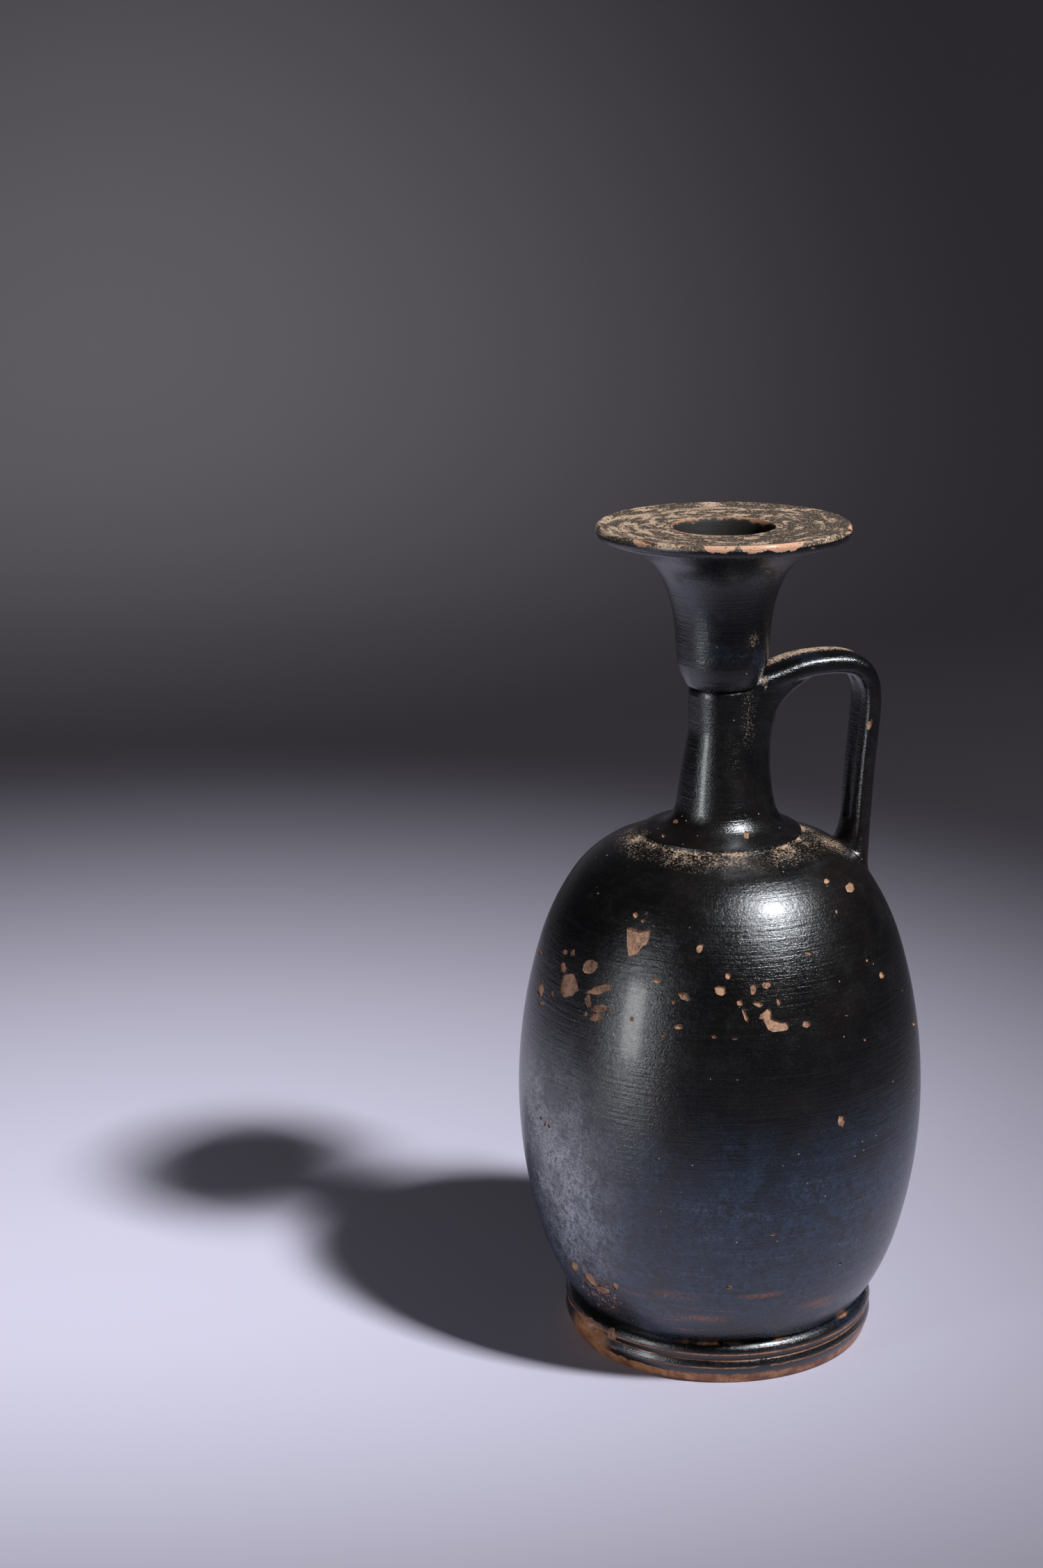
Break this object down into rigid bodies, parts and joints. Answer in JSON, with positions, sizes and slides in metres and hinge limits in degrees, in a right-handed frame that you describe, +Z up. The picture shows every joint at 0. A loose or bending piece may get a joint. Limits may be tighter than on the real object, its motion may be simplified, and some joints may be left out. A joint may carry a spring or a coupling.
{
  "type": "lekythos",
  "caption": "Black-glazed clay oil jug: ovoid hollow body on a moulded ring foot, slim neck, trumpet mouth with a broad flat lip, one reeded strap handle from neck to shoulder.",
  "frame": {"origin": "centre of the foot's resting face, on the axis of the turned body", "axes": "+Z up along the turned axis, +X through the middle of the handle"},
  "size_m": [0.0976, 0.0976, 0.2],
  "materials": {
    "black_slip": "satin to glossy black slip with blue-grey bloom, flaked and worn to orange-tan clay"
  },
  "bodies": {
    "root": {"lekythos": "black_slip"}
  },
  "joints": []
}
